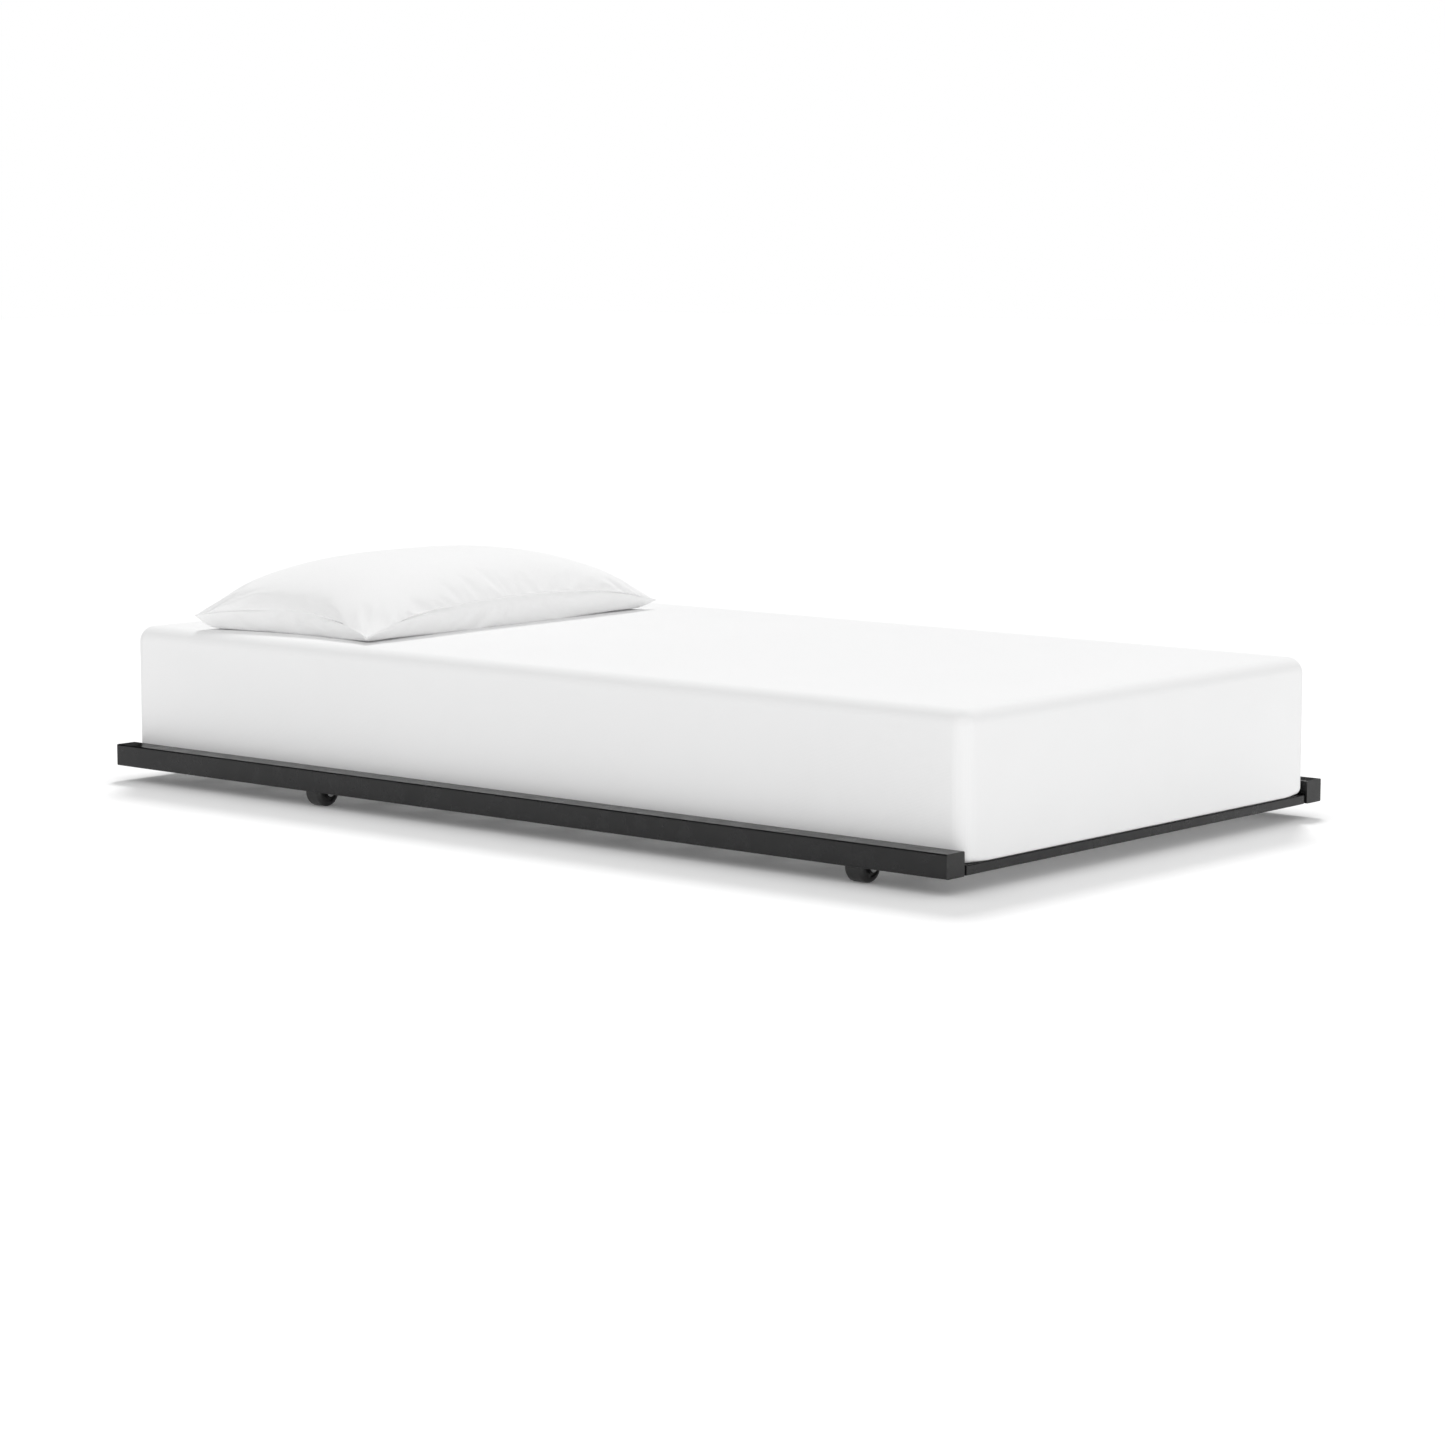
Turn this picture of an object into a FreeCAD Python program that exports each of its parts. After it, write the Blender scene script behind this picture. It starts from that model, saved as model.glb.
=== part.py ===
import FreeCAD, Part
import os
import re
import Sketcher

# A low trundle bed: two tubular side rails joined by a thin bar at each end, a deck of steel slats between
# the rails, four fixed rollers half sunk in the rails, a mattress and a pillow.
# Millimetres, +Z up. The origin is on the floor under the middle of the bed, +X runs to the foot end,
# +Y to the back rail. The rollers' axles lie along X, so the bed rolls sideways, along Y.

DIMENSIONS = [
    # the frame as a whole
    ("bed_length", 1905),
    ("bed_width", 1057),
    ("rail_lift", 27),
    # side rails, rectangular tube
    ("rail_width", 44),
    ("rail_height", 39),
    ("rail_wall", 1.5),
    ("rail_corner", 2.5),
    # plugs that close the rails' ends
    ("plug_flange", 1.5),
    ("plug_depth", 12),
    ("plug_gap", 0.2),
    # end bars, flat rectangular tube, and the stubs that carry them
    ("bar_height", 16),
    ("bar_depth", 25),
    ("bar_wall", 1.2),
    ("bar_corner", 1.5),
    ("bar_setback", 1.5),
    ("stub_neck_length", 7),
    ("stub_neck_depth", 20),
    ("stub_neck_height", 13),
    ("stub_tongue_length", 30),
    ("stub_gap", 0.15),
    # deck: angle ledges on the rails, slats across them
    ("ledge_leg", 22),
    ("ledge_thickness", 2.5),
    ("ledge_end_gap", 32),
    ("ledge_bar_gap", 5.5),
    ("slat_width", 30),
    ("slat_height", 12),
    ("slat_wall", 1.2),
    ("slat_corner", 1.5),
    ("slat_pitch", 148),
    ("slat_end_gap", 0.5),
    # rollers, their forks and axles
    ("roller_diameter", 50),
    ("roller_width", 38),
    ("roller_shoulder", 8),
    ("roller_hub_radius", 8),
    ("roller_rim_radius", 15.5),
    ("roller_recess", 2.5),
    ("roller_inset", 6.5),
    ("roller_head_x", -440),
    ("roller_foot_x", 767.5),
    ("axle_radius", 4),
    ("axle_clearance", 0.05),
    ("axle_head_radius", 7.5),
    ("axle_head_height", 2.5),
    ("axle_head_round", 1.5),
    ("axle_end_length", 3),
    ("axle_cap_height", 3.8),
    ("axle_cap_bevel", 1.5),
    ("fork_gap", 0.5),
    ("fork_plate", 2),
    ("fork_depth", 37),
    ("fork_shoulder_drop", 18),
    ("fork_tip_radius", 10),
    ("notch_gap", 1),
    ("notch_height", 21),
    # screws
    ("screw_radius", 2.4),
    ("screw_hole_radius", 2.5),
    ("screw_head_radius", 4.5),
    ("screw_head_height", 1.5),
    ("screw_head_bevel", 0.6),
    ("screw_length", 8.5),
    ("screw_from_wall", 14),
    # soft parts
    ("mattress_length", 1903),
    ("mattress_height", 237),
    ("mattress_side_gap", 0.3),
    ("mattress_edge", 28),
    ("pillow_depth", 450),
    ("pillow_length", 824),
    ("pillow_height", 130),
    ("pillow_x", -622),
    ("pillow_y", -44),
    ("pillow_turn", 3.5),
    ("pillow_corner_cut", 0.25),
]

SLAT_COUNT = 12
# How the pillow's outline swells and narrows: share of its height, share of its full depth and length.
PILLOW_LEVELS = [(0, 0.8), (0.2, 1.0), (0.62, 0.8), (1, 0.42)]
SIDES = {"front": -1, "back": 1}
ENDS = {"head": -1, "foot": 1}

# Places that several sub-parts share, worked out from the dimensions.
RAIL_Y = "(bed_width / 2 - rail_width / 2)"
RAIL_FACE_Y = "(bed_width / 2 - rail_width)"
BAR_X = "(bed_length / 2 - bar_setback - bar_depth / 2)"
BAR_INNER_X = "(bed_length / 2 - bar_setback - bar_depth)"
DECK_Z = "(rail_lift + bar_height)"
SLAT_Z = "(rail_lift + bar_height - slat_height)"
ROLLER_Y = "(bed_width / 2 - rail_width / 2 - roller_inset)"
ROLLER_Z = "(roller_diameter / 2)"
ROLLER_X = {"head": "roller_head_x", "foot": "roller_foot_x"}
FORK_HALF = "(roller_width / 2 + fork_gap + fork_plate)"
NOTCH_HALF = "(roller_width / 2 + fork_gap + fork_plate + axle_cap_height + notch_gap)"
MATTRESS_TOP = "(rail_lift + bar_height + mattress_height)"

doc = FreeCAD.newDocument("TrundleBed")
sheet = doc.addObject("Spreadsheet::Sheet", "Dimensions")
for row, (alias, value) in enumerate(DIMENSIONS, start=1):
    sheet.set(f"A{row}", alias.replace("_", " "))
    sheet.set(f"B{row}", str(value))
    sheet.setAlias(f"B{row}", alias)
doc.recompute()

ALIASES = {alias for alias, value in DIMENSIONS}
subparts = []


def on_sheet(text):
    """The same formula with each dimension's name pointing at its cell."""
    return re.sub(r"[a-z_]+", lambda word: "Dimensions." + word[0] if word[0] in ALIASES else word[0], text)


def number(text):
    """What a formula of dimensions comes to."""
    return float(sheet.evalExpression(on_sheet(text)))


def bind(thing, **formulas):
    """Ties properties of a document object to formulas of dimensions."""
    for name, formula in formulas.items():
        thing.setExpression(name, on_sheet(formula))


def put(thing, x="0", y="0", z="0"):
    """Ties a document object's position to formulas."""
    for axis, formula in (("x", x), ("y", y), ("z", z)):
        thing.setExpression("Placement.Base." + axis, on_sheet(formula))


def turn(thing, axis, degrees):
    """Turns a document object about an axis through its own origin."""
    thing.Placement = FreeCAD.Placement(thing.Placement.Base, FreeCAD.Rotation(axis, degrees))


def subpart(thing, label):
    """Names a finished sub-part and puts it on the list of files to write."""
    thing.Label = label
    subparts.append(thing)


def new_body(label):
    body = doc.addObject("PartDesign::Body", label)
    subpart(body, label)
    return body


def polygons(body, plane, *loops, height="0"):
    """A sketch of closed polygons on one of the body's origin planes; every corner's place is a formula."""
    sketch = body.newObject("Sketcher::SketchObject", "Outline")
    support = next(item for item in body.Origin.OriginFeatures if item.Role == plane)
    sketch.AttachmentSupport = [(support, "")]
    sketch.MapMode = "FlatFace"
    sketch.setExpression("AttachmentOffset.Base.z", on_sheet(height))
    for corners in loops:
        first = sketch.GeometryCount
        count = len(corners)
        points = [FreeCAD.Vector(number(across), number(up), 0) for across, up in corners]
        for i in range(count):
            sketch.addGeometry(Part.LineSegment(points[i], points[(i + 1) % count]), False)
        for i in range(count):
            sketch.addConstraint(Sketcher.Constraint("Coincident", first + i, 2, first + (i + 1) % count, 1))
        for i, (across, up) in enumerate(corners):
            for kind, formula, at in (("DistanceX", across, points[i].x), ("DistanceY", up, points[i].y)):
                index = sketch.addConstraint(Sketcher.Constraint(kind, -1, 1, first + i, 1, at))
                name = f"{kind}_{first + i}"
                sketch.renameConstraint(index, name)
                sketch.setExpression("Constraints." + name, on_sheet(formula))
    return sketch


def rectangle(half_width, low, high):
    """The corners of a rectangle that is centred across and runs from low to high."""
    return [(f"-({half_width})", low), (half_width, low), (half_width, high), (f"-({half_width})", high)]


def pad(body, sketch, length):
    """Extrudes a sketch to both sides of its plane."""
    feature = body.newObject("PartDesign::Pad", "Pad")
    feature.Profile = sketch
    feature.Midplane = True
    bind(feature, Length=length)
    return feature


def revolve(body, sketch):
    """Turns a sketch about the body's X axis."""
    feature = body.newObject("PartDesign::Revolution", "Revolution")
    feature.Profile = sketch
    feature.ReferenceAxis = (sketch, ["H_Axis"])
    feature.Angle = 360
    return feature


def box(body, kind, length, width, height, x, y, z):
    """A block added to or cut from a body, given by its sizes and its lowest corner."""
    feature = body.newObject(f"PartDesign::{kind}Box", kind + "Box")
    bind(feature, Length=length, Width=width, Height=height)
    put(feature, x, y, z)
    return feature


def bore(body, radius, length, x, y, z, direction):
    """A round hole from a point, along a direction."""
    feature = body.newObject("PartDesign::SubtractiveCylinder", "Bore")
    bind(feature, Radius=radius, Height=length)
    feature.Placement = FreeCAD.Placement(
        FreeCAD.Vector(0, 0, 0), FreeCAD.Rotation(FreeCAD.Vector(0, 0, 1), direction)
    )
    put(feature, x, y, z)
    return feature


def fillet(body, radius, chosen):
    """Rounds the edges of the body so far that pass the test chosen(edge)."""
    doc.recompute()
    base = body.Tip
    names = [f"Edge{i}" for i, edge in enumerate(base.Shape.Edges, start=1) if chosen(edge)]
    feature = body.newObject("PartDesign::Fillet", "Fillet")
    feature.Base = (base, names)
    bind(feature, Radius=radius)
    return feature


def runs_along(edge, axis):
    """Whether an edge is straight and parallel to an axis."""
    if not isinstance(edge.Curve, Part.Line):
        return False
    return abs(edge.Curve.Direction.dot(axis)) > 0.999


X_AXIS = FreeCAD.Vector(1, 0, 0)
Y_AXIS = FreeCAD.Vector(0, 1, 0)
Z_AXIS = FreeCAD.Vector(0, 0, 1)


def tube(label, plane, axis, length, width, height, wall, corner):
    """A rectangular tube with rounded edges, its bottom at zero, centred on the other two axes."""
    body = new_body(label)
    outside = rectangle(f"{width} / 2", "0", height)
    inside = rectangle(f"{width} / 2 - {wall}", wall, f"{height} - {wall}")
    pad(body, polygons(body, plane, outside, inside), length)
    middle = number(f"{height} / 2")
    edge_of_outside = number(f"{height} / 2 - {wall} / 2")
    fillet(
        body, corner,
        lambda edge: runs_along(edge, axis) and abs(edge.CenterOfMass.z - middle) > edge_of_outside,
    )
    return body


def make_rail(side):
    """A side rail: a tube with a notch for each roller and its axle, open below and towards the bed."""
    label = "rail_" + side
    length = "bed_length - 2 * plug_flange"
    rail = tube(label, "YZ_Plane", X_AXIS, length, "rail_width", "rail_height", "rail_wall", "rail_corner")
    inner_half = "rail_width / 2 - rail_wall"
    low = f"-({inner_half})" if side == "front" else "-rail_width / 2 - notch_gap"
    for end in ENDS:
        box(
            rail, "Subtractive", f"2 * {NOTCH_HALF}",
            "rail_width - rail_wall + notch_gap", "notch_height + notch_gap",
            f"{ROLLER_X[end]} - {NOTCH_HALF}", low, "-notch_gap",
        )
    put(rail, "0", f"{SIDES[side]} * {RAIL_Y}", "rail_lift")


def make_rail_plug(side, end):
    """A plastic plug that closes a rail's end: a flange with the tube's outline and a hollow spigot."""
    plug = new_body(f"rail_plug_{side}_{end}")
    sign = ENDS[end]
    flange_low = "0" if sign > 0 else "-plug_flange"
    spigot_low = "-plug_depth" if sign > 0 else "0"
    hollow_low = "-plug_depth" if sign > 0 else "rail_wall"
    reach = "(rail_wall + plug_gap)"
    box(plug, "Additive", "plug_flange", "rail_width", "rail_height", flange_low, "-rail_width / 2", "0")
    fillet(plug, "rail_corner", lambda edge: runs_along(edge, X_AXIS))
    box(
        plug, "Additive", "plug_depth", f"rail_width - 2 * {reach}", f"rail_height - 2 * {reach}",
        spigot_low, f"-rail_width / 2 + {reach}", reach,
    )
    box(
        plug, "Subtractive", "plug_depth - rail_wall",
        f"rail_width - 2 * {reach} - 2 * rail_wall", f"rail_height - 2 * {reach} - 2 * rail_wall",
        hollow_low, f"-rail_width / 2 + {reach} + rail_wall", f"{reach} + rail_wall",
    )
    face_x = "(bed_length / 2 - plug_flange)"
    put(plug, f"{sign} * {face_x}", f"{SIDES[side]} * {RAIL_Y}", "rail_lift")


def make_end_bar(end):
    """The thin bar across one end of the bed, with a screw hole near each end of its inner wall."""
    sign = ENDS[end]
    length = f"2 * {RAIL_FACE_Y} - 2 * stub_neck_length"
    bar = tube(
        "end_bar_" + end, "XZ_Plane", Y_AXIS, length, "bar_depth", "bar_height", "bar_wall", "bar_corner"
    )
    for side in SIDES.values():
        bore(
            bar, "screw_hole_radius", "2 * bar_wall",
            f"{-sign} * (bar_depth / 2 + bar_wall / 2)",
            f"{side} * ({RAIL_FACE_Y} - stub_neck_length - stub_tongue_length / 2)",
            "bar_height / 2", FreeCAD.Vector(sign, 0, 0),
        )
    put(bar, f"{sign} * {BAR_X}", "0", "rail_lift")


def make_bar_stub(side, end):
    """The stub welded to a rail that an end bar slides over: a slim neck, then a tongue inside the bar."""
    stub = new_body(f"bar_stub_{side}_{end}")
    side_sign = SIDES[side]
    neck_low = "-stub_neck_length" if side_sign > 0 else "0"
    tongue_low = "-stub_neck_length - stub_tongue_length" if side_sign > 0 else "stub_neck_length"
    reach = "(bar_wall + stub_gap)"
    box(
        stub, "Additive", "stub_neck_depth", "stub_neck_length", "stub_neck_height",
        "-stub_neck_depth / 2", neck_low, "(bar_height - stub_neck_height) / 2",
    )
    box(
        stub, "Additive", f"bar_depth - 2 * {reach}", "stub_tongue_length", f"bar_height - 2 * {reach}",
        f"-bar_depth / 2 + {reach}", tongue_low, reach,
    )
    bore(
        stub, "screw_hole_radius", "screw_length + stub_gap",
        f"{-ENDS[end]} * (bar_depth / 2)",
        f"{-side_sign} * (stub_neck_length + stub_tongue_length / 2)",
        "bar_height / 2", FreeCAD.Vector(ENDS[end], 0, 0),
    )
    put(stub, f"{ENDS[end]} * {BAR_X}", f"{side_sign} * {RAIL_FACE_Y}", "rail_lift")


def slat_x(index):
    return f"({index - (SLAT_COUNT - 1) / 2} * slat_pitch)"


def make_ledge(side, name, start, stop):
    """A length of steel angle welded to a rail: an upright leg on the rail, a flat leg under the slats."""
    ledge = new_body(f"ledge_{side}_{name}")
    inward = -SIDES[side]
    top = "bar_height"
    foot = "(bar_height - slat_height - ledge_thickness)"
    seat = "(bar_height - slat_height)"
    corners = [
        ("0", foot),
        (f"{inward} * ledge_leg", foot),
        (f"{inward} * ledge_leg", seat),
        (f"{inward} * ledge_thickness", seat),
        (f"{inward} * ledge_thickness", top),
        ("0", top),
    ]
    pad(ledge, polygons(ledge, "YZ_Plane", corners), f"({stop}) - ({start})")
    middle = f"(({start}) + ({stop})) / 2"
    for index in range(SLAT_COUNT):
        if number(start) < number(slat_x(index)) < number(stop):
            bore(
                ledge, "screw_hole_radius", "2 * ledge_thickness",
                f"{slat_x(index)} - {middle}", f"{inward} * screw_from_wall",
                f"{foot} - ledge_thickness / 2", Z_AXIS,
            )
    put(ledge, middle, f"{SIDES[side]} * {RAIL_FACE_Y}", "rail_lift")


def make_slat(index):
    """A steel slat: flat tube across the bed, screwed to both ledges through its bottom wall."""
    length = f"2 * {RAIL_FACE_Y} - 2 * ledge_thickness - 2 * slat_end_gap"
    slat = tube(
        f"slat_{index + 1:02d}", "XZ_Plane", Y_AXIS, length,
        "slat_width", "slat_height", "slat_wall", "slat_corner",
    )
    for side in SIDES.values():
        bore(
            slat, "screw_hole_radius", "2 * slat_wall",
            "0", f"{side} * ({RAIL_FACE_Y} - screw_from_wall)", "-slat_wall / 2", Z_AXIS,
        )
    put(slat, slat_x(index), "0", SLAT_Z)


def make_fork(side, end):
    """The bent steel fork welded up inside the rail; its two plates taper down to the axle."""
    fork = new_body(f"fork_{side}_{end}")
    inward = -SIDES[side]
    top = "(rail_height - rail_wall)"
    axle_z = f"({ROLLER_Z} - rail_lift)"
    tip = f"({axle_z} - fork_tip_radius)"
    shoulder = f"({top} - fork_shoulder_drop)"
    axle_y = f"({inward} * roller_inset)"
    corners = [
        ("-fork_depth / 2", top),
        ("-fork_depth / 2", shoulder),
        (f"{axle_y} - fork_tip_radius", axle_z),
        (f"{axle_y} - fork_tip_radius", tip),
        (f"{axle_y} + fork_tip_radius", tip),
        (f"{axle_y} + fork_tip_radius", axle_z),
        ("fork_depth / 2", shoulder),
        ("fork_depth / 2", top),
    ]
    pad(fork, polygons(fork, "YZ_Plane", corners), f"2 * {FORK_HALF}")
    lowest = number(tip)
    fillet(
        fork, "fork_tip_radius - axle_clearance",
        lambda edge: runs_along(edge, X_AXIS) and abs(edge.CenterOfMass.z - lowest) < 0.01,
    )
    box(
        fork, "Subtractive", "roller_width + 2 * fork_gap", "fork_depth + 2 * notch_gap",
        f"rail_height - {tip}", "-roller_width / 2 - fork_gap", "-fork_depth / 2 - notch_gap",
        f"{top} - fork_plate - (rail_height - {tip})",
    )
    bore(
        fork, "axle_radius + axle_clearance", f"2 * {FORK_HALF} + 2 * notch_gap",
        f"-{FORK_HALF} - notch_gap", axle_y, axle_z, X_AXIS,
    )
    put(fork, ROLLER_X[end], f"{SIDES[side]} * {RAIL_Y}", "rail_lift")


def place_on_axle(thing, side, end):
    put(thing, ROLLER_X[end], f"{SIDES[side]} * {ROLLER_Y}", ROLLER_Z)


def make_roller(side, end):
    """A plastic roller with full round shoulders, a ring-shaped recess in each face and a hub."""
    roller = new_body(f"roller_{side}_{end}")
    half = "roller_width / 2"
    floor = f"({half} - roller_recess)"
    bore_radius = "axle_radius + axle_clearance"
    right = [
        (half, bore_radius),
        (half, "roller_hub_radius"),
        (floor, "roller_hub_radius"),
        (floor, "roller_rim_radius"),
        (half, "roller_rim_radius"),
        (half, ROLLER_Z),
    ]
    left = [(f"-({across})", up) for across, up in reversed(right)]
    revolve(roller, polygons(roller, "XZ_Plane", right + left))
    tread = number(ROLLER_Z)
    fillet(
        roller, "roller_shoulder",
        lambda edge: isinstance(edge.Curve, Part.Circle) and edge.Curve.Radius > tread - 0.1,
    )
    place_on_axle(roller, side, end)


def make_axle(side, end):
    """A zinc-plated pin with a low round head on its foot-side end."""
    axle = new_body(f"axle_{side}_{end}")
    head_end = f"{FORK_HALF} + axle_head_height"
    corners = [
        (f"-{FORK_HALF} - axle_end_length", "0"),
        (head_end, "0"),
        (head_end, "axle_head_radius"),
        (FORK_HALF, "axle_head_radius"),
        (FORK_HALF, "axle_radius"),
        (f"-{FORK_HALF} - axle_end_length", "axle_radius"),
    ]
    revolve(axle, polygons(axle, "XZ_Plane", corners))
    outer_face = number(head_end)
    fillet(
        axle, "axle_head_round",
        lambda edge: isinstance(edge.Curve, Part.Circle) and abs(edge.CenterOfMass.x - outer_face) < 0.01,
    )
    place_on_axle(axle, side, end)


def round_piece(name, sections):
    """Cylinders and cones stacked along their own +Z: a list of (start, radius, end radius, length)."""
    pieces = []
    for start, radius, end_radius, length in sections:
        if radius == end_radius:
            piece = doc.addObject("Part::Cylinder", name + "_cylinder")
            bind(piece, Radius=radius, Height=length)
        else:
            piece = doc.addObject("Part::Cone", name + "_cone")
            bind(piece, Radius1=radius, Radius2=end_radius, Height=length)
        put(piece, "0", "0", start)
        pieces.append(piece)
    whole = pieces[0]
    for piece in pieces[1:]:
        joined = doc.addObject("Part::Fuse", name)
        joined.Base = whole
        joined.Tool = piece
        whole = joined
    return whole


def group(label, members):
    """One node of identical separate fasteners."""
    compound = doc.addObject("Part::Compound", label)
    compound.Links = members
    subpart(compound, label)


def make_axle_caps():
    """The push-on caps that hold the axles, one on the plain end of each."""
    caps = []
    for side in SIDES:
        for end in ENDS:
            barrel = "(axle_cap_height - axle_cap_bevel)"
            outside = round_piece("cap", [
                ("0", "axle_head_radius", "axle_head_radius", barrel),
                (barrel, "axle_head_radius", "axle_head_radius - axle_cap_bevel", "axle_cap_bevel"),
            ])
            socket = doc.addObject("Part::Cylinder", "socket")
            bind(socket, Radius="axle_radius + axle_clearance", Height="axle_end_length + axle_clearance")
            cap = doc.addObject("Part::Cut", "axle_cap")
            cap.Base = outside
            cap.Tool = socket
            turn(cap, Y_AXIS, -90)
            put(cap, f"{ROLLER_X[end]} - {FORK_HALF}", f"{SIDES[side]} * {ROLLER_Y}", ROLLER_Z)
            caps.append(cap)
    group("axle_caps", caps)


def screw():
    """A low-headed screw that points up; the underside of its head is at zero."""
    plain = "(screw_head_height - screw_head_bevel)"
    return round_piece("screw", [
        (
            "-screw_head_height", "screw_head_radius - screw_head_bevel",
            "screw_head_radius", "screw_head_bevel",
        ),
        (f"-{plain}", "screw_head_radius", "screw_head_radius", plain),
        ("0", "screw_radius", "screw_radius", "screw_length"),
    ])


def make_slat_screws(side):
    """The screws that hold the slats' ends down on one rail's ledges, driven from below."""
    screws = []
    for index in range(SLAT_COUNT):
        piece = screw()
        put(
            piece, slat_x(index), f"{SIDES[side]} * ({RAIL_FACE_Y} - screw_from_wall)",
            f"{SLAT_Z} - ledge_thickness",
        )
        screws.append(piece)
    group("slat_screws_" + side, screws)


def make_bar_screws():
    """The screws that hold the end bars on their stubs, driven from inside the bed outwards."""
    screws = []
    for side in SIDES.values():
        for end in ENDS.values():
            piece = screw()
            turn(piece, Y_AXIS, end * 90)
            put(
                piece, f"{end} * {BAR_INNER_X}",
                f"{side} * ({RAIL_FACE_Y} - stub_neck_length - stub_tongue_length / 2)",
                "rail_lift + bar_height / 2",
            )
            screws.append(piece)
    group("bar_screws", screws)


def make_mattress():
    """The mattress: a block with soft round edges that lies on the slats and the end bars."""
    mattress = new_body("mattress")
    width = f"(2 * {RAIL_FACE_Y} - 2 * mattress_side_gap)"
    box(
        mattress, "Additive", "mattress_length", width, "mattress_height",
        "-mattress_length / 2", f"-{width} / 2", "0",
    )
    fillet(mattress, "mattress_edge", lambda edge: True)
    put(mattress, "0", "0", DECK_Z)


def make_pillow():
    """The pillow: widest a little above the mattress, crowned above and drawn in below."""
    pillow = new_body("pillow")
    sections = []
    for level, share in PILLOW_LEVELS:
        depth = f"({share} * pillow_depth / 2)"
        length = f"({share} * pillow_length / 2)"
        cut = f"({share} * pillow_depth * pillow_corner_cut)"
        right = [
            (depth, f"-({length} - {cut})"),
            (depth, f"{length} - {cut}"),
            (f"{depth} - {cut}", length),
        ]
        left = [
            (f"-({depth} - {cut})", length),
            (f"-{depth}", f"{length} - {cut}"),
            (f"-{depth}", f"-({length} - {cut})"),
        ]
        front = [
            (f"-({depth} - {cut})", f"-{length}"),
            (f"{depth} - {cut}", f"-{length}"),
        ]
        outline = right + left + front
        sections.append(polygons(pillow, "XY_Plane", outline, height=f"{level} * pillow_height"))
    loft = pillow.newObject("PartDesign::AdditiveLoft", "Loft")
    loft.Profile = sections[0]
    loft.Sections = sections[1:]
    loft.Ruled = True
    turn(pillow, Z_AXIS, number("pillow_turn"))
    put(pillow, "pillow_x", "pillow_y", MATTRESS_TOP)


def make_everything():
    for side in SIDES:
        make_rail(side)
        for end in ENDS:
            make_rail_plug(side, end)
            make_bar_stub(side, end)
            make_fork(side, end)
            make_roller(side, end)
            make_axle(side, end)
        start = f"-{BAR_INNER_X} + ledge_bar_gap"
        before_head = "roller_head_x - ledge_end_gap"
        after_head = "roller_head_x + ledge_end_gap"
        before_foot = "roller_foot_x - ledge_end_gap"
        after_foot = "roller_foot_x + ledge_end_gap"
        stop = f"{BAR_INNER_X} - ledge_bar_gap"
        make_ledge(side, "head", start, before_head)
        make_ledge(side, "middle", after_head, before_foot)
        make_ledge(side, "foot", after_foot, stop)
        make_slat_screws(side)
    for end in ENDS:
        make_end_bar(end)
    for index in range(SLAT_COUNT):
        make_slat(index)
    make_axle_caps()
    make_bar_screws()
    make_mattress()
    make_pillow()


def write_everything():
    """Checks every object of the document and every sub-part's solid, then writes one STEP file for each."""
    doc.recompute()
    for thing in doc.Objects:
        if {"Invalid", "Error"} & set(thing.State):
            raise RuntimeError(f"{thing.Label} did not recompute: {thing.State}")
    os.makedirs("parts", exist_ok=True)
    for thing in subparts:
        shape = thing.Shape
        if shape.isNull() or not shape.isValid() or not shape.Solids:
            raise RuntimeError(f"{thing.Label} has no valid solid")
        shape.exportStep(f"parts/{thing.Label}.step")
        extent = shape.optimalBoundingBox(False)
        print(
            f"{thing.Label:22s} solids {len(shape.Solids):2d}  volume {shape.Volume:12.1f}  "
            f"x {extent.XMin:8.2f} {extent.XMax:8.2f}  y {extent.YMin:8.2f} {extent.YMax:8.2f}  "
            f"z {extent.ZMin:7.2f} {extent.ZMax:7.2f}"
        )
    print(len(subparts), "sub-parts")


make_everything()
write_everything()
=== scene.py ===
import math

import bmesh
import bpy
from mathutils import Matrix, Vector, noise


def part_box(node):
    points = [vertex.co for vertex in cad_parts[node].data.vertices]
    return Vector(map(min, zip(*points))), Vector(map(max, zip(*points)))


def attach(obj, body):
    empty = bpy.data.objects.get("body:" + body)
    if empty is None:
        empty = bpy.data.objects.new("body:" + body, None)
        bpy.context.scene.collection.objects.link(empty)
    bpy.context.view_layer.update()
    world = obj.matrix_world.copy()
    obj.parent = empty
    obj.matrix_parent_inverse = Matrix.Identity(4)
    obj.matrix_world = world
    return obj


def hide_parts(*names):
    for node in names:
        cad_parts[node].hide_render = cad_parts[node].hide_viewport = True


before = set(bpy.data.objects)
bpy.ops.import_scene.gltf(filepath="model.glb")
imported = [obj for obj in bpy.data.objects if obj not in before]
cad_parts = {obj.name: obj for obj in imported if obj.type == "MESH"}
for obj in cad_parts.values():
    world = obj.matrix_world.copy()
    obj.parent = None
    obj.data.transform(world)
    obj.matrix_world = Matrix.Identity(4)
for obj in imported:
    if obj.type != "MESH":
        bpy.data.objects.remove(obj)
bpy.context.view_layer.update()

# ---------------------------------------------------------------- sizes, in metres

MATTRESS_EDGE = 0.028
MATTRESS_PRESSED_EDGE = 0.006
MATTRESS_FREE_EDGE = 0.014
MATTRESS_CORNER_FREE = 0.03
MATTRESS_CROWN = 0.0012
MATTRESS_SIDE_GIVE = 0.0006
MATTRESS_FINE = 0.0028
MATTRESS_COARSE = 0.018

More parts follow.
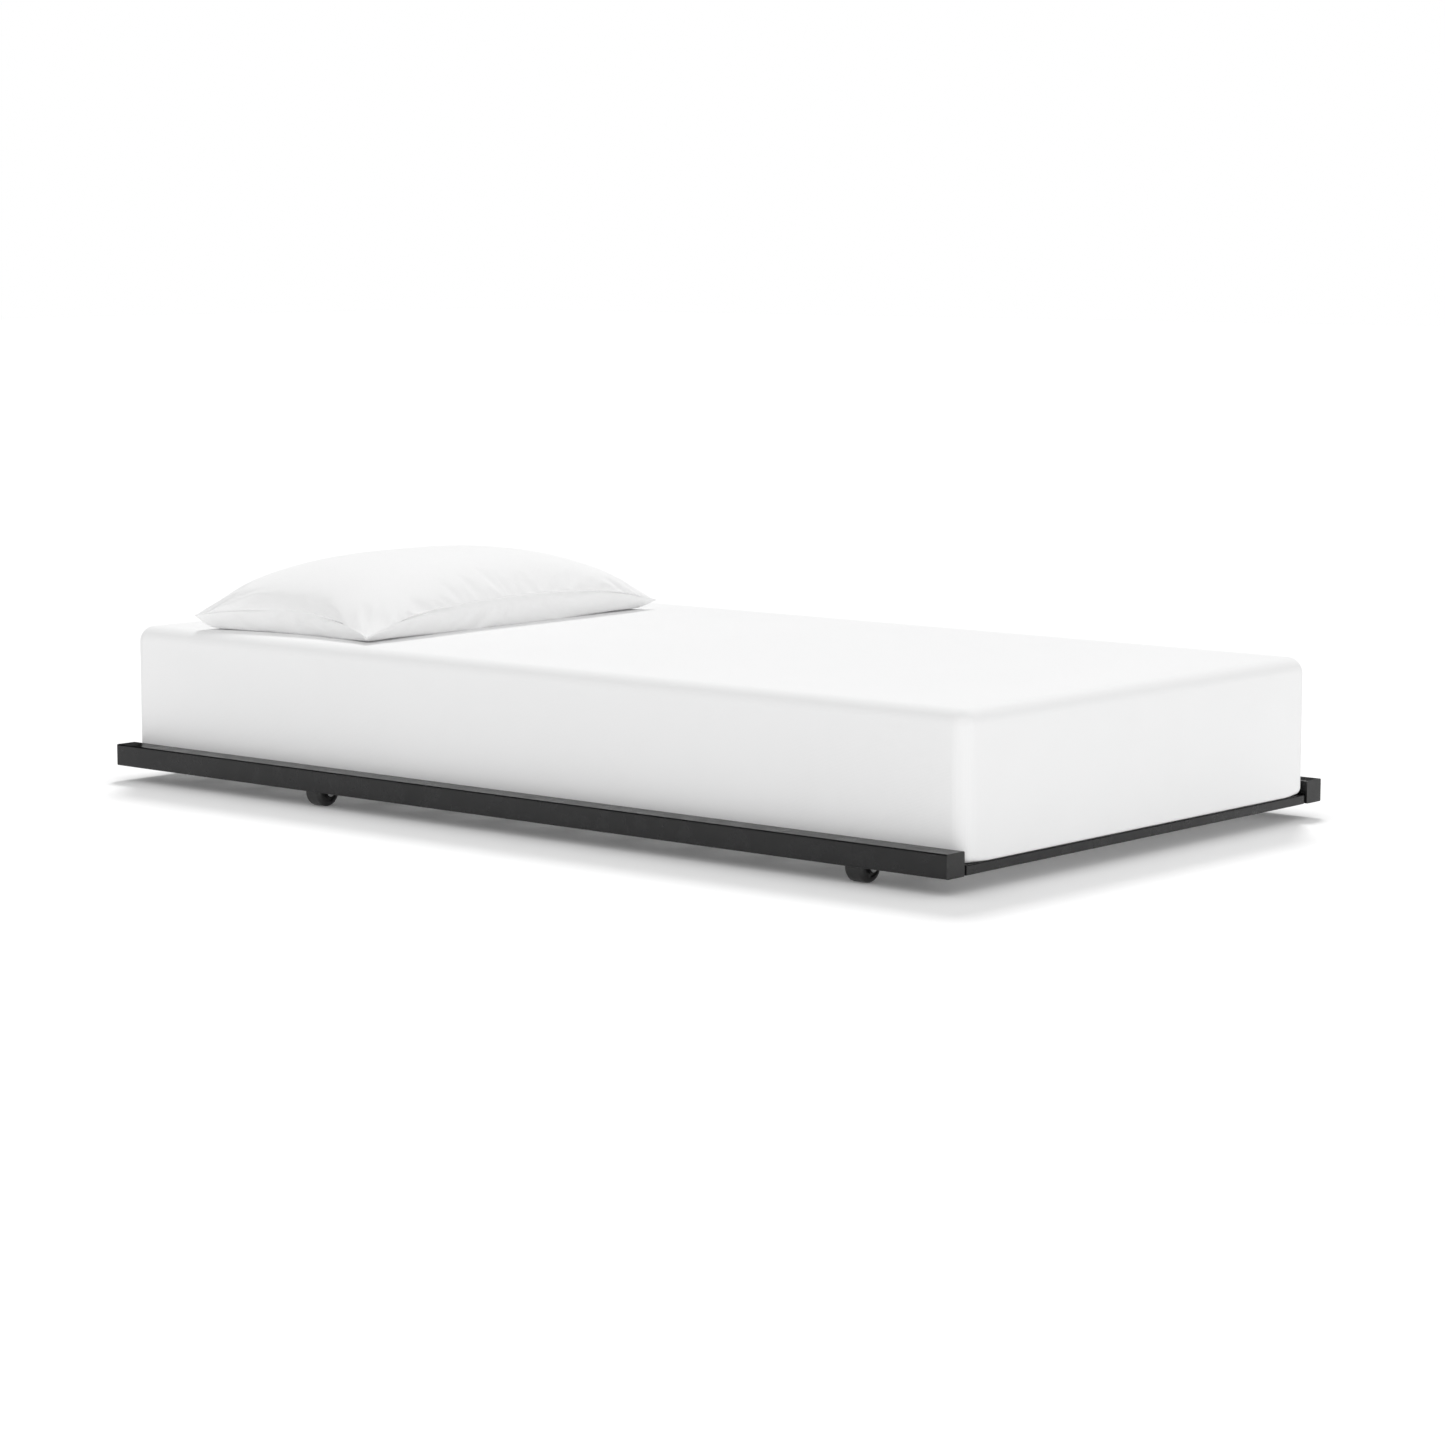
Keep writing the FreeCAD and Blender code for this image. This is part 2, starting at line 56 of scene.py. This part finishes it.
PILLOW_CELLS = (100, 180)
PILLOW_TURN = math.radians(2.85)
PILLOW_HALF = (0.2122, 0.4046)
PILLOW_HEIGHT = 0.1262
PILLOW_PULL = (0.073, 0.12)
PILLOW_CORNER_HEIGHTS = {(-1, -1): 0.026, (1, -1): 0.011, (1, 1): 0.017, (-1, 1): 0.0175}
PILLOW_SEAM_RISE = (0.038, 0.022)
PILLOW_SEAM_POWER = (3.0, 2.1)
PILLOW_FLAT = ((3.75, 2.9), (2.4, 3.55))
PILLOW_FULLNESS = (0.48, 0.85, 0.25)
PILLOW_NEAR_SLOPE = 0.4
PILLOW_FAR_EASE = 3
PILLOW_UNDERCUT = 0.013
PILLOW_TIP_UNDERCUT = 0.03
PILLOW_TIP_POWER = 8
PILLOW_SEAM_TUCK = 0.0035
PILLOW_CAP = 0.0042
PILLOW_REST_GAP = 0.0004
SETTLE_FRAMES = 18


# ---------------------------------------------------------------- materials


class Finish:
    """A node material that is built up from its Principled shader."""

    def __init__(self, name, **fixed):
        self.material = bpy.data.materials.new(name)
        self.material.use_nodes = True
        self.tree = self.material.node_tree
        self.shader = self.tree.nodes["Principled BSDF"]
        for socket, value in fixed.items():
            self.shader.inputs[socket.replace("_", " ")].default_value = value
        self.place = self.add("ShaderNodeTexCoord").outputs["Object"]

    def add(self, kind, links=(), **settings):
        """Adds a node; links gives its inputs by name, as sockets or as plain values."""
        made = self.tree.nodes.new(kind)
        for name, value in settings.items():
            setattr(made, name, value)
        for name, value in dict(links).items():
            if isinstance(value, bpy.types.NodeSocket):
                self.tree.links.new(value, made.inputs[name])
            else:
                made.inputs[name].default_value = value
        return made

    def noise(self, scale, detail=2.0, roughness=0.5, place=None):
        made = self.add(
            "ShaderNodeTexNoise",
            {"Vector": place or self.place, "Scale": scale, "Detail": detail, "Roughness": roughness},
        )
        return made.outputs["Fac"]

    def span(self, value, low, high, start=0.0, stop=1.0):
        """Maps a value from start..stop to low..high."""
        made = self.add(
            "ShaderNodeMapRange",
            {"Value": value, "From Min": start, "From Max": stop, "To Min": low, "To Max": high},
        )
        return made.outputs["Result"]

    def maths(self, operation, first, second=0.0):
        made = self.add("ShaderNodeMath", {0: first, 1: second}, operation=operation)
        return made.outputs["Value"]

    def tints(self, share, dark, light):
        """A colour between two, by share."""
        made = self.add("ShaderNodeMix", {"Factor": share}, data_type="RGBA")
        made.inputs[6].default_value = (*dark, 1)
        made.inputs[7].default_value = (*light, 1)
        return made.outputs[2]

    def blend(self, share, first, second):
        """A mix of two colour sockets, by share."""
        made = self.add("ShaderNodeMix", {"Factor": share}, data_type="RGBA")
        self.tree.links.new(first, made.inputs[6])
        self.tree.links.new(second, made.inputs[7])
        return made.outputs[2]

    def bump(self, height, distance, strength=1.0, under=None):
        made = self.add(
            "ShaderNodeBump", {"Height": height, "Distance": distance, "Strength": strength}
        )
        if under is not None:
            self.tree.links.new(under, made.inputs["Normal"])
        return made.outputs["Normal"]

    def edges(self, radius):
        """1 on sharp edges within a radius, 0 on flat faces."""
        rounded = self.add("ShaderNodeBevel", {"Radius": radius}, samples=4).outputs["Normal"]
        straight = self.add("ShaderNodeNewGeometry").outputs["Normal"]
        likeness = self.add(
            "ShaderNodeVectorMath", {0: rounded, 1: straight}, operation="DOT_PRODUCT"
        ).outputs["Value"]
        return self.span(likeness, 1.0, 0.0, 0.85, 0.995)

    def send(self, **sockets):
        for name, value in sockets.items():
            self.tree.links.new(value, self.shader.inputs[name.replace("_", " ")])
        return self.material


def powder_coat(name, dark, light, roughness, texture=0.00002):
    """Baked powder paint on steel: fine orange peel, slightly uneven gloss, thin on the edges."""
    f = Finish(name)
    f.shader.inputs["Specular IOR Level"].default_value = 0.36
    cloud = f.noise(9.0, 3.0)
    grain = f.noise(1400.0, 2.0)
    paint = f.tints(f.span(cloud, 0.0, 1.0, 0.3, 0.7), dark, light)
    bare = f.tints(grain, tuple(3.0 * c for c in light), tuple(5.0 * c for c in light))
    worn = f.maths("MULTIPLY", f.edges(0.0007), f.span(f.noise(160.0, 3.0), 0.0, 0.6, 0.45, 0.75))
    colour = f.blend(worn, paint, bare)
    gloss = f.span(f.maths("ADD", f.noise(30.0, 3.0), f.span(grain, -0.15, 0.15)), *roughness, 0.3, 0.7)
    peel = f.bump(f.noise(650.0, 1.5), texture)
    return f.send(Base_Color=colour, Roughness=gloss, Normal=peel)


def moulded_plastic(name, dark, light, roughness, grain_scale, grain_depth):
    """Injection-moulded plastic with a fine spark-eroded grain and faint flow clouds."""
    f = Finish(name)
    f.shader.inputs["Specular IOR Level"].default_value = 0.5
    cloud = f.noise(40.0, 3.0)
    colour = f.tints(f.span(cloud, 0.0, 1.0, 0.3, 0.7), dark, light)
    gloss = f.span(f.noise(300.0, 2.0), *roughness, 0.3, 0.7)
    grain = f.bump(f.noise(grain_scale, 2.0, 0.6), grain_depth)
    return f.send(Base_Color=colour, Roughness=gloss, Normal=grain)


def zinc_plate(name):
    """Bright zinc plating: cool grey metal with fine draw lines and cloudy patches."""
    f = Finish(name, Metallic=1.0)
    stretched = f.add("ShaderNodeMapping", {"Vector": f.place, "Scale": (1.0, 12.0, 12.0)})
    lines = f.noise(300.0, 3.0, place=stretched.outputs["Vector"])
    colour = f.tints(f.noise(120.0, 3.0), (0.48, 0.49, 0.50), (0.66, 0.66, 0.65))
    gloss = f.span(lines, 0.22, 0.42, 0.3, 0.7)
    return f.send(Base_Color=colour, Roughness=gloss, Normal=f.bump(lines, 0.00002))


def knitted_cover(name):
    """The mattress cover: a fine double knit, its wales along the bed, with soft uneven tension."""
    f = Finish(name)
    f.shader.inputs["Specular IOR Level"].default_value = 0.25
    f.shader.inputs["Sheen Weight"].default_value = 0.08
    f.shader.inputs["Sheen Roughness"].default_value = 0.5
    wander = f.noise(14.0, 2.0)
    axes = f.add("ShaderNodeSeparateXYZ", {"Vector": f.place}).outputs
    ribs = []
    for axis, pitch in (("X", 0.0021), ("Y", 0.0016), ("Z", 0.0021)):
        phase = f.maths("MULTIPLY", axes[axis], 2 * math.pi / pitch)
        phase = f.maths("ADD", phase, f.span(wander, -2.0, 2.0))
        ribs.append(f.maths("SINE", phase))
    loops = f.maths("ADD", f.maths("MULTIPLY", ribs[0], ribs[1]), f.maths("MULTIPLY", ribs[1], ribs[2]))
    loops = f.maths("ADD", loops, f.maths("MULTIPLY", ribs[0], ribs[2]))
    shade = f.tints(f.span(loops, 0.0, 1.0, -1.0, 1.0), (0.845, 0.846, 0.848), (0.872, 0.872, 0.872))
    cloud = f.tints(f.noise(5.0, 3.0), (0.85, 0.851, 0.853), (0.87, 0.87, 0.87))
    colour = f.blend(0.5, shade, cloud)
    fuzz = f.noise(2500.0, 2.0)
    gloss = f.span(fuzz, 0.78, 0.92, 0.3, 0.7)
    relief = f.bump(loops, 0.00006, 0.6, under=f.bump(fuzz, 0.00005, 0.5))
    return f.send(Base_Color=colour, Roughness=gloss, Normal=relief)


def cotton_weave(name, tint=(0.88, 0.88, 0.88)):
    """The pillow's ticking: plain-woven cotton with slubs in both directions."""
    f = Finish(name)
    f.shader.inputs["Specular IOR Level"].default_value = 0.2
    f.shader.inputs["Sheen Weight"].default_value = 0.12
    f.shader.inputs["Sheen Roughness"].default_value = 0.45
    axes = f.add("ShaderNodeSeparateXYZ", {"Vector": f.place}).outputs
    wander = f.span(f.noise(40.0, 2.0), -1.5, 1.5)
    threads = []
    for axis in "XYZ":
        phase = f.maths("ADD", f.maths("MULTIPLY", axes[axis], 2 * math.pi / 0.0009), wander)
        threads.append(f.maths("SINE", phase))
    weave = f.maths("MULTIPLY", threads[0], threads[1])
    other_pairs = f.maths("MULTIPLY", threads[2], f.maths("ADD", threads[0], threads[1]))
    weave = f.maths("ADD", weave, other_pairs)
    slubs = f.add("ShaderNodeMapping", {"Vector": f.place, "Scale": (1.0, 14.0, 14.0)})
    slub = f.noise(60.0, 3.0, place=slubs.outputs["Vector"])
    dark = tuple(0.975 * c for c in tint)
    shade = f.tints(f.span(weave, 0.0, 1.0, -1.5, 1.5), dark, tint)
    cloud = f.tints(f.span(slub, 0.0, 1.0, 0.3, 0.7), dark, tint)
    colour = f.blend(0.4, shade, cloud)
    gloss = f.span(f.noise(900.0, 2.0), 0.75, 0.9, 0.3, 0.7)
    relief = f.bump(weave, 0.00004, 0.6, under=f.bump(slub, 0.00006, 0.5))
    return f.send(Base_Color=colour, Roughness=gloss, Normal=relief)


FINISHES = {
    "black_frame": powder_coat(
        "satin_black_paint", (0.006, 0.006, 0.0065), (0.010, 0.010, 0.0105), (0.24, 0.34)
    ),
    "black_fork": powder_coat(
        "black_fork_paint", (0.007, 0.007, 0.007), (0.012, 0.012, 0.012), (0.34, 0.46)
    ),
    "black_plug": moulded_plastic(
        "black_plug_plastic", (0.006, 0.006, 0.006), (0.010, 0.010, 0.010), (0.32, 0.42), 1800.0, 0.00002
    ),
    "roller_plastic": moulded_plastic(
        "roller_nylon", (0.008, 0.008, 0.008), (0.014, 0.014, 0.014), (0.3, 0.42), 1200.0, 0.00002
    ),
    "zinc": zinc_plate("bright_zinc"),
    "mattress_fabric": knitted_cover("white_knit"),
    "pillow_cotton": cotton_weave("white_cotton"),
}

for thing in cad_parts.values():
    for slot in thing.material_slots:
        slot.material = FINISHES[slot.material.name.split(".")[0]]


# ---------------------------------------------------------------- mesh helpers


def new_piece(name, mesh_builder, material):
    """Makes a mesh object from a bmesh and links it."""
    mesh = bpy.data.meshes.new(name)
    mesh_builder.to_mesh(mesh)
    mesh_builder.free()
    mesh.materials.append(material)
    thing = bpy.data.objects.new(name, mesh)
    bpy.context.scene.collection.objects.link(thing)
    return thing


def smooth(thing):
    for face in thing.data.polygons:
        face.use_smooth = True


def apply_modifiers(thing):
    """Replaces an object's mesh by the result of its modifiers."""
    depsgraph = bpy.context.evaluated_depsgraph_get()
    result = bpy.data.meshes.new_from_object(thing.evaluated_get(depsgraph))
    thing.modifiers.clear()
    old = thing.data
    thing.data = result
    bpy.data.meshes.remove(old)


# ---------------------------------------------------------------- mattress


def grid_lines(low, high, border, fine, coarse):
    """Places along one side of a box: close together within a border at each end, wider apart between."""
    steps = max(1, round(border / fine))
    edge = [border * i / steps for i in range(steps)]
    inner = high - low - 2 * border
    count = max(1, round(inner / coarse))
    middle = [border + inner * i / count for i in range(count + 1)]
    return [low + d for d in edge + middle] + [high - d for d in reversed(edge)]


def square_to_round(a, b):
    """Moves a point of a square to where it lies in the disc the square encloses."""
    size = math.hypot(a, b)
    if size == 0:
        return a, b
    share = max(abs(a), abs(b)) / size
    return a * share, b * share


def soft_block(low, high, corner, top_edge, bottom_edge, fine, coarse):
    """A closed block, rounded all over; bottom_edge(x, y) gives the radius of its lower edge."""
    builder = bmesh.new()
    lines = [grid_lines(low[axis], high[axis], corner, fine, coarse) for axis in range(3)]
    last = [len(line) - 1 for line in lines]
    found = {}

    def shaped(x, y, z):
        core_x = min(max(x, low.x + corner), high.x - corner)
        core_y = min(max(y, low.y + corner), high.y - corner)
        out_x, out_y = square_to_round(x - core_x, y - core_y)
        reach = math.hypot(out_x, out_y)
        if reach == 0:
            return Vector((x, y, z))
        depth = corner - reach
        radius = top_edge if z > (low.z + high.z) / 2 else bottom_edge(core_x, core_y)
        core_depth = max(depth, radius)
        core_z = min(max(z, low.z + radius), high.z - radius)
        part_depth, part_z = square_to_round(depth - core_depth, z - core_z)
        reach_now = corner - core_depth - part_depth
        return Vector((
            core_x + out_x / reach * reach_now, core_y + out_y / reach * reach_now, core_z + part_z
        ))

    def vertex(key):
        if key not in found:
            found[key] = builder.verts.new(shaped(*(lines[axis][key[axis]] for axis in range(3))))
        return found[key]

    for axis in range(3):
        u, v = (axis + 1) % 3, (axis + 2) % 3
        for side in (0, last[axis]):
            for a in range(last[u]):
                for b in range(last[v]):
                    corners = []
                    for da, db in ((0, 0), (1, 0), (1, 1), (0, 1)):
                        key = [0, 0, 0]
                        key[axis], key[u], key[v] = side, a + da, b + db
                        corners.append(vertex(tuple(key)))
                    if side == 0:
                        corners.reverse()
                    builder.faces.new(corners)
    return builder


def make_mattress():
    low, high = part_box("mattress")
    middle = (low + high) / 2
    half = (high - low) / 2

    def bottom_edge(x, y):
        """The bed flattens the lower edge, less so near the corners."""
        from_corner = math.hypot(half.x - MATTRESS_EDGE - abs(x), half.y - MATTRESS_EDGE - abs(y))
        free = max(0.0, 1 - from_corner / MATTRESS_CORNER_FREE)
        eased = free * free * (3 - 2 * free)
        return MATTRESS_PRESSED_EDGE + (MATTRESS_FREE_EDGE - MATTRESS_PRESSED_EDGE) * eased

    builder = soft_block(
        low, high, MATTRESS_EDGE, MATTRESS_EDGE, bottom_edge, MATTRESS_FINE, MATTRESS_COARSE
    )
    for vert in builder.verts:
        across = min(1.0, abs(vert.co.x - middle.x) / half.x)
        along = min(1.0, abs(vert.co.y - middle.y) / half.y)
        up = min(1.0, abs(vert.co.z - middle.z) / half.z)
        give = noise.noise(vert.co * 3.1)
        if vert.co.z > high.z - MATTRESS_EDGE:
            crown = (1 - across**4) * (1 - along**4)
            vert.co.z += MATTRESS_CROWN * crown * (1 + 0.6 * give)
        side = MATTRESS_SIDE_GIVE * (1 - up**4) * noise.noise(vert.co * 4.3 + Vector((9, 0, 0)))
        vert.co.x += side * (across > 0.99)
        vert.co.y += side * (along > 0.99)
    mattress = new_piece("mattress_cover", builder, FINISHES["mattress_fabric"])
    smooth(mattress)
    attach(mattress, "mattress")
    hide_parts("mattress")


# ---------------------------------------------------------------- pillow


def seam_height(u, v):
    """How high the pillow's seam, or the surface that spans it, runs above the mattress."""
    corners = sum(
        height * (1 + corner_u * u) * (1 + corner_v * v) / 4
        for (corner_u, corner_v), height in PILLOW_CORNER_HEIGHTS.items()
    )
    along_long = PILLOW_SEAM_RISE[0] * (1 - abs(v) ** PILLOW_SEAM_POWER[0])
    along_short = PILLOW_SEAM_RISE[1] * (1 - abs(u) ** PILLOW_SEAM_POWER[1])
    return corners + along_long + along_short


def pillow_point(u, v, top):
    """A point of one sheet, above the mattress; u runs across the pillow and v along it, -1 to 1."""
    x = PILLOW_HALF[0] * u * (1 - PILLOW_PULL[0] * (1 - v * v))
    y = PILLOW_HALF[1] * v * (1 - PILLOW_PULL[1] * (1 - u * u))
    seam = seam_height(u, v)
    if abs(u) == 1 or abs(v) == 1:
        return Vector((x - PILLOW_SEAM_TUCK * int(u), y - PILLOW_SEAM_TUCK * int(v), seam))
    if top:
        back, front, along = PILLOW_FULLNESS
        across = back if u < 0 else front + (back - front) * max(0.0, v) ** PILLOW_FAR_EASE
        along += PILLOW_NEAR_SLOPE * max(0.0, -v) * (1 + u) / 2
        swell_u = (1 - abs(u) ** PILLOW_FLAT[0][u > 0]) ** across
        swell_v = (1 - abs(v) ** PILLOW_FLAT[1][v > 0]) ** along
        return Vector((x, y, seam + (PILLOW_HEIGHT - seam_height(0, 0)) * swell_u * swell_v))
    inset = min((1 - abs(u)) * PILLOW_HALF[0], (1 - abs(v)) * PILLOW_HALF[1])
    undercut = PILLOW_UNDERCUT + PILLOW_TIP_UNDERCUT * abs(u * v) ** PILLOW_TIP_POWER
    short = max(0.0, 1 - inset / undercut)
    return Vector((x, y, seam * (1 - math.sqrt(1 - short * short))))


def pillow_sheets():
    """Two sheets sewn together round their edge, with small cells towards the seam.

    Returns the mesh and the numbers of the seam's vertices.
    """
    nx, ny = PILLOW_CELLS
    builder = bmesh.new()
    rim = {}

    for top in (True, False):
        grid = {}
        for i in range(nx + 1):
            for j in range(ny + 1):
                if (i, j) in rim:
                    grid[i, j] = rim[i, j]
                    continue
                u = math.sin((i / nx - 0.5) * math.pi)
                v = math.sin((j / ny - 0.5) * math.pi)
                grid[i, j] = builder.verts.new(pillow_point(u, v, top))
                if i in (0, nx) or j in (0, ny):
                    rim[i, j] = grid[i, j]
        for i in range(nx):
            for j in range(ny):
                corners = [grid[i, j], grid[i + 1, j], grid[i + 1, j + 1], grid[i, j + 1]]
                if not top:
                    corners.reverse()
                builder.faces.new(corners)
    builder.verts.index_update()
    seam = set(rim.values())
    crease = builder.edges.layers.float.new("crease_edge")
    for edge in builder.edges:
        if seam.issuperset(edge.verts):
            edge[crease] = 1.0
            edge.smooth = False
    return builder, [vert.index for vert in rim.values()]


def settle(pillow, rim):
    """Swells the cloth from inside, its seam held and no point moved further than PILLOW_CAP."""
    held = pillow.vertex_groups.new(name="held")
    held.add(rim, 1.0, "REPLACE")
    before = [vert.co.copy() for vert in pillow.data.vertices]
    cloth = pillow.modifiers.new("Cloth", "CLOTH")
    settings = cloth.settings
    settings.quality = 5
    settings.mass = 0.2
    settings.tension_stiffness = 25
    settings.compression_stiffness = 12
    settings.shear_stiffness = 8
    settings.bending_stiffness = 1.2
    settings.air_damping = 4
    settings.use_pressure = True
    settings.uniform_pressure_force = 1.5
    settings.shrink_min = -0.015
    settings.vertex_group_mass = "held"
    settings.effector_weights.gravity = 0
    cloth.collision_settings.use_collision = False
    cloth.collision_settings.use_self_collision = False
    scene = bpy.context.scene
    scene.frame_start, scene.frame_end = 1, SETTLE_FRAMES
    for step in range(1, SETTLE_FRAMES + 1):
        scene.frame_set(step)
    apply_modifiers(pillow)
    scene.frame_set(1)
    for vert, start in zip(pillow.data.vertices, before):
        moved = vert.co - start
        vert.co = start + moved.normalized() * PILLOW_CAP * math.tanh(moved.length / PILLOW_CAP)


def make_pillow():
    low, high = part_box("pillow")
    mattress_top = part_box("mattress")[1].z
    centre = (low + high) / 2
    builder, rim = pillow_sheets()
    pillow = new_piece("pillow_case", builder, FINISHES["pillow_cotton"])
    pillow.data.transform(
        Matrix.Translation((centre.x, centre.y, mattress_top)) @ Matrix.Rotation(PILLOW_TURN, 4, "Z")
    )
    settle(pillow, rim)
    for vert in pillow.data.vertices:
        vert.co.z = max(vert.co.z, mattress_top + PILLOW_REST_GAP)
    smoothing = pillow.modifiers.new("Subdivision", "SUBSURF")
    smoothing.levels = smoothing.render_levels = 1
    apply_modifiers(pillow)
    smooth(pillow)
    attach(pillow, "pillow")
    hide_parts("pillow")


make_mattress()
make_pillow()

# ---------------------------------------------------------------- stage, lights and camera

FLOOR_HALF = 30.0
AMBIENT = 0.72
AIM = Vector((0.0495, 0.005, 0.1379))
CAMERA_AZIMUTH = math.radians(40.62)
CAMERA_ELEVATION = math.radians(7.391)
CAMERA_DISTANCE = 6.6713
CAMERA_LENS = 94.30

floor_builder = bmesh.new()
bmesh.ops.create_grid(floor_builder, x_segments=8, y_segments=8, size=FLOOR_HALF)
floor_finish = Finish("pale_floor", Roughness=1.0)
floor_finish.shader.inputs["Specular IOR Level"].default_value = 0.0
floor_finish.send(
    Base_Color=floor_finish.tints(floor_finish.noise(0.7, 2.0), (0.90, 0.90, 0.90), (0.91, 0.91, 0.91))
)
floor = new_piece("floor", floor_builder, floor_finish.material)

scene = bpy.context.scene
scene.view_settings.view_transform = "Standard"
world = bpy.data.worlds.new("studio")
scene.world = world
world.use_nodes = True
background = world.node_tree.nodes["Background"]
background.inputs["Color"].default_value = (1, 1, 1, 1)
paths = world.node_tree.nodes.new("ShaderNodeLightPath")
strength = world.node_tree.nodes.new("ShaderNodeMapRange")
strength.inputs["To Min"].default_value = AMBIENT
strength.inputs["To Max"].default_value = 1.0
world.node_tree.links.new(paths.outputs["Is Camera Ray"], strength.inputs["Value"])
world.node_tree.links.new(strength.outputs["Result"], background.inputs["Strength"])
world.cycles_visibility.glossy = False


def sun(name, strength, angle, towards):
    """A distant light of a given apparent size that shines along a direction."""
    light = bpy.data.lights.new(name, "SUN")
    light.energy = strength
    light.angle = angle
    thing = bpy.data.objects.new(name, light)
    thing.rotation_mode = "QUATERNION"
    thing.rotation_quaternion = Vector(towards).to_track_quat("-Z", "Y")
    scene.collection.objects.link(thing)
    return thing


sun("key", 1.58, math.radians(14), (0.566, -0.76, -1.0))
fill = sun("fill", 0.62, math.radians(60), (-0.8, 0.6, -0.12))
fill.data.use_shadow = False

# A wide shadowless wash on the floor alone keeps the bed's shadow pale and even.
wash = sun("floor_wash", 0.26, math.radians(10), (0.0, 0.0, -1.0))
wash.data.use_shadow = False
lit_by_wash = bpy.data.collections.new("lit_by_wash")
lit_by_wash.objects.link(floor)
wash.light_linking.receiver_collection = lit_by_wash

camera_data = bpy.data.cameras.new("camera")
camera_data.lens = CAMERA_LENS
camera_data.sensor_width = 36.0
camera = bpy.data.objects.new("camera", camera_data)
back = Vector((
    math.sin(CAMERA_AZIMUTH) * math.cos(CAMERA_ELEVATION),
    -math.cos(CAMERA_AZIMUTH) * math.cos(CAMERA_ELEVATION),
    math.sin(CAMERA_ELEVATION),
))
camera.location = AIM + back * CAMERA_DISTANCE
camera.rotation_euler = (math.pi / 2 - CAMERA_ELEVATION, 0.0, CAMERA_AZIMUTH)
scene.collection.objects.link(camera)
scene.camera = camera
